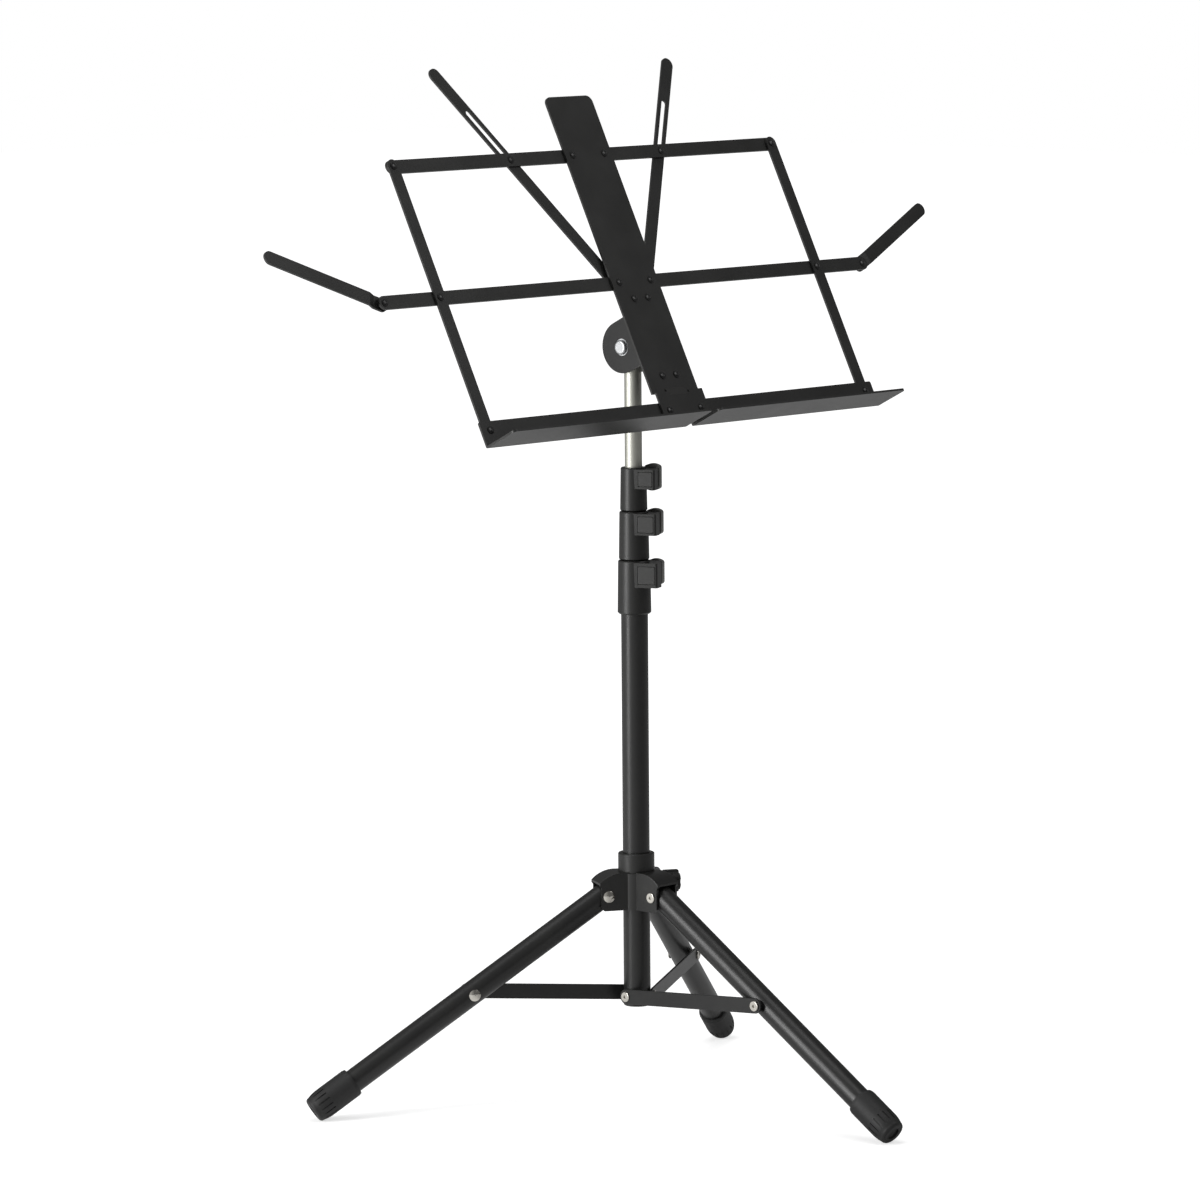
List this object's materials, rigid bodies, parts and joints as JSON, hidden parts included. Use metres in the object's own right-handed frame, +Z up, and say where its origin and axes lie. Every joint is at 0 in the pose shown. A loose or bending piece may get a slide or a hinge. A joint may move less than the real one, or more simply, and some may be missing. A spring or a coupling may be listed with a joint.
{
  "type": "folding music stand",
  "caption": "Folding music stand: fold-up slatted desk with page arms and a ledge, on a telescoping mast with clamp collars, over a sliding hub with strutted, rubber-capped legs.",
  "frame": {"origin": "on the floor under the mast axis", "axes": "+Z up along the mast, -Y towards the reader, +X to the reader's right"},
  "size_m": [0.8862, 0.4838, 0.9596],
  "materials": {
    "black_paint": "satin",
    "black_plastic": "satin",
    "black_rubber": "matte",
    "silver_tube": "satin",
    "nickel_rivet": "polished",
    "black_rivet": "gloss",
    "steel": "satin"
  },
  "bodies": {
    "hub": {"hub": "black_plastic", "leg_pivot_rivets": "nickel_rivet"},
    "hub_knob": {"hub_knob": "black_plastic"},
    "mast": {"main_tube": "black_paint", "strut_plug": "black_plastic", "collar_lower": "black_plastic", "nut_cover_lower": "black_plastic"},
    "stage_two": {"stage_two_tube": "black_paint", "stage_two_bush": "black_plastic", "collar_middle": "black_plastic", "nut_cover_middle": "black_plastic"},
    "stage_three": {"stage_three_tube": "black_paint", "stage_three_bush": "black_plastic", "collar_upper": "black_plastic", "nut_cover_upper": "black_plastic"},
    "head": {"top_tube": "silver_tube", "top_tube_bush": "black_plastic", "tilt_head": "silver_tube"},
    "desk_frame": {"centre_plate": "black_paint", "plate_rivets": "black_rivet", "tilt_bracket": "black_paint", "tilt_bushes": "steel"},
    "tilt_knob": {"tilt_bolt": "steel", "tilt_knob": "black_plastic"},
    "clamp_knob_lower": {"clamp_knob_lower": "black_plastic"},
    "clamp_knob_middle": {"clamp_knob_middle": "black_plastic"},
    "clamp_knob_upper": {"clamp_knob_upper": "black_plastic"},
    "leg_front": {"leg_front": "black_paint", "foot_cap_front": "black_rubber", "strut_rivet_front": "nickel_rivet"},
    "strut_front": {"strut_front": "black_paint", "strut_rivet_end_front": "nickel_rivet"},
    "leg_rear_right": {"leg_rear_right": "black_paint", "foot_cap_rear_right": "black_rubber", "strut_rivet_rear_right": "nickel_rivet"},
    "strut_rear_right": {"strut_rear_right": "black_paint", "strut_rivet_end_rear_right": "nickel_rivet"},
    "leg_rear_left": {"leg_rear_left": "black_paint", "foot_cap_rear_left": "black_rubber", "strut_rivet_rear_left": "nickel_rivet"},
    "strut_rear_left": {"strut_rear_left": "black_paint", "strut_rivet_end_rear_left": "nickel_rivet"},
    "top_left": {"top_bar_left": "black_paint", "top_rivets_left": "black_rivet"},
    "mid_left": {"mid_bar_left": "black_paint", "mid_rivets_left": "black_rivet"},
    "ledge_left": {"ledge_left": "black_paint", "ledge_rivet_left": "black_rivet"},
    "side_left": {"side_bar_left": "black_paint"},
    "finger_left": {"finger_left": "black_paint"},
    "arm_left": {"arm_left": "black_paint"},
    "top_right": {"top_bar_right": "black_paint", "top_rivets_right": "black_rivet"},
    "mid_right": {"mid_bar_right": "black_paint", "mid_rivets_right": "black_rivet"},
    "ledge_right": {"ledge_right": "black_paint", "ledge_rivet_right": "black_rivet"},
    "side_right": {"side_bar_right": "black_paint"},
    "finger_right": {"finger_right": "black_paint"},
    "arm_right": {"arm_right": "black_paint"}
  },
  "joints": [
    {"name": "hub_knob_turn", "type": "hinge", "parent": "hub", "child": "hub_knob", "pos_m": [0.02598, -0.015, 0.204], "axis": [0.866, -0.5, 0], "range_deg": [0, 450]},
    {"name": "mast_slide", "type": "slide", "parent": "hub", "child": "mast", "axis": [0, 0, 1], "range_m": [-0.2152, 0]},
    {"name": "stage_two_slide", "type": "slide", "parent": "mast", "child": "stage_two", "axis": [0, 0, 1], "range_m": [0, 0.29]},
    {"name": "stage_three_slide", "type": "slide", "parent": "stage_two", "child": "stage_three", "axis": [0, 0, 1], "range_m": [0, 0.29]},
    {"name": "top_tube_slide", "type": "slide", "parent": "stage_three", "child": "head", "axis": [0, 0, 1], "range_m": [-0.08, 0.25]},
    {"name": "clamp_knob_lower_turn", "type": "hinge", "parent": "mast", "child": "clamp_knob_lower", "pos_m": [0.00594, -0.01334, 0.4924], "axis": [0.9135, 0.4067, 0], "range_deg": [0, 450]},
    {"name": "clamp_knob_middle_turn", "type": "hinge", "parent": "stage_two", "child": "clamp_knob_middle", "pos_m": [0.0059, -0.01325, 0.5392], "axis": [0.9135, 0.4067, 0], "range_deg": [0, 450]},
    {"name": "clamp_knob_upper_turn", "type": "hinge", "parent": "stage_three", "child": "clamp_knob_upper", "pos_m": [0.00549, -0.01233, 0.5809], "axis": [0.9135, 0.4067, 0], "range_deg": [0, 450]},
    {"name": "desk_tilt", "type": "hinge", "parent": "head", "child": "desk_frame", "pos_m": [0, 0, 0.7025], "axis": [-1, 0, 0], "range_deg": [-26.5, 63.5]},
    {"name": "tilt_knob_turn", "type": "hinge", "parent": "desk_frame", "child": "tilt_knob", "pos_m": [0, 0, 0.7025], "axis": [1, 0, 0], "range_deg": [0, 450]},
    {"name": "leg_front_hinge", "type": "hinge", "parent": "hub", "child": "leg_front", "pos_m": [0, -0.031, 0.1945], "axis": [1, 0, 0], "range_deg": [0, 55.58]},
    {"name": "strut_front_hinge", "type": "hinge", "parent": "leg_front", "child": "strut_front", "pos_m": [0, -0.15995, 0.10941], "axis": [1, 0, 0], "range_deg": [-129.55, 0]},
    {"name": "leg_rear_right_hinge", "type": "hinge", "parent": "hub", "child": "leg_rear_right", "pos_m": [0.02755, 0.01422, 0.1945], "axis": [-0.4587, 0.8886, 0], "range_deg": [0, 55.58]},
    {"name": "strut_rear_right_hinge", "type": "hinge", "parent": "leg_rear_right", "child": "strut_rear_right", "pos_m": [0.14214, 0.07336, 0.10941], "axis": [-0.4587, 0.8886, 0], "range_deg": [-129.55, 0]},
    {"name": "leg_rear_left_hinge", "type": "hinge", "parent": "hub", "child": "leg_rear_left", "pos_m": [-0.02685, 0.0155, 0.1945], "axis": [-0.5, -0.866, 0], "range_deg": [0, 55.58]},
    {"name": "strut_rear_left_hinge", "type": "hinge", "parent": "leg_rear_left", "child": "strut_rear_left", "pos_m": [-0.13852, 0.07998, 0.10941], "axis": [-0.5, -0.866, 0], "range_deg": [-129.55, 0]},
    {"name": "mid_fold_left", "type": "hinge", "parent": "desk_frame", "child": "mid_left", "pos_m": [-0.021, -0.00145, 0.76167], "axis": [0, 0.8949, -0.4462], "range_deg": [0, 81]},
    {"name": "top_fold_left", "type": "hinge", "parent": "desk_frame", "child": "top_left", "pos_m": [-0.021, 0.05566, 0.87622], "axis": [0, 0.8949, -0.4462], "range_deg": [0, 81]},
    {"name": "ledge_fold_left", "type": "hinge", "parent": "desk_frame", "child": "ledge_left", "pos_m": [-0.021, -0.05924, 0.64577], "axis": [0, 0.8949, -0.4462], "range_deg": [0, 81]},
    {"name": "finger_turn_left", "type": "hinge", "parent": "desk_frame", "child": "finger_left", "pos_m": [-0.021, -0.00145, 0.76167], "axis": [0, 0.8949, -0.4462], "range_deg": [0, 28.56]},
    {"name": "side_turn_left", "type": "hinge", "parent": "mid_left", "child": "side_left", "pos_m": [-0.254, -0.00145, 0.76167], "axis": [0, 0.8949, -0.4462], "range_deg": [-81, 0]},
    {"name": "arm_turn_left", "type": "hinge", "parent": "mid_left", "child": "arm_left", "pos_m": [-0.322, -0.00145, 0.76167], "axis": [0, -0.8949, 0.4462], "range_deg": [-91, 114]},
    {"name": "mid_fold_right", "type": "hinge", "parent": "desk_frame", "child": "mid_right", "pos_m": [0.021, -0.00145, 0.76167], "axis": [0, -0.8949, 0.4462], "range_deg": [0, 81]},
    {"name": "top_fold_right", "type": "hinge", "parent": "desk_frame", "child": "top_right", "pos_m": [0.021, 0.05566, 0.87622], "axis": [0, -0.8949, 0.4462], "range_deg": [0, 81]},
    {"name": "ledge_fold_right", "type": "hinge", "parent": "desk_frame", "child": "ledge_right", "pos_m": [0.021, -0.05924, 0.64577], "axis": [0, -0.8949, 0.4462], "range_deg": [0, 81]},
    {"name": "finger_turn_right", "type": "hinge", "parent": "desk_frame", "child": "finger_right", "pos_m": [0.021, -0.00145, 0.76167], "axis": [0, -0.8949, 0.4462], "range_deg": [0, 28.56]},
    {"name": "side_turn_right", "type": "hinge", "parent": "mid_right", "child": "side_right", "pos_m": [0.254, -0.00145, 0.76167], "axis": [0, -0.8949, 0.4462], "range_deg": [-81, 0]},
    {"name": "arm_turn_right", "type": "hinge", "parent": "mid_right", "child": "arm_right", "pos_m": [0.322, -0.00145, 0.76167], "axis": [0, 0.8949, -0.4462], "range_deg": [-91, 114]}
  ],
  "couplings": [
    {"joint": "leg_front_hinge", "follows": "mast_slide", "rad_per_m": -4.5077},
    {"joint": "strut_front_hinge", "follows": "mast_slide", "rad_per_m": 10.507},
    {"joint": "leg_rear_right_hinge", "follows": "mast_slide", "rad_per_m": -4.5077},
    {"joint": "strut_rear_right_hinge", "follows": "mast_slide", "rad_per_m": 10.507},
    {"joint": "leg_rear_left_hinge", "follows": "mast_slide", "rad_per_m": -4.5077},
    {"joint": "strut_rear_left_hinge", "follows": "mast_slide", "rad_per_m": 10.507},
    {"joint": "top_fold_left", "follows": "mid_fold_left", "ratio": 1},
    {"joint": "ledge_fold_left", "follows": "mid_fold_left", "ratio": 1},
    {"joint": "finger_turn_left", "follows": "mid_fold_left", "ratio": 0.35242},
    {"joint": "side_turn_left", "follows": "mid_fold_left", "ratio": -1},
    {"joint": "top_fold_right", "follows": "mid_fold_right", "ratio": 1},
    {"joint": "ledge_fold_right", "follows": "mid_fold_right", "ratio": 1},
    {"joint": "finger_turn_right", "follows": "mid_fold_right", "ratio": 0.35242},
    {"joint": "side_turn_right", "follows": "mid_fold_right", "ratio": -1}
  ]
}
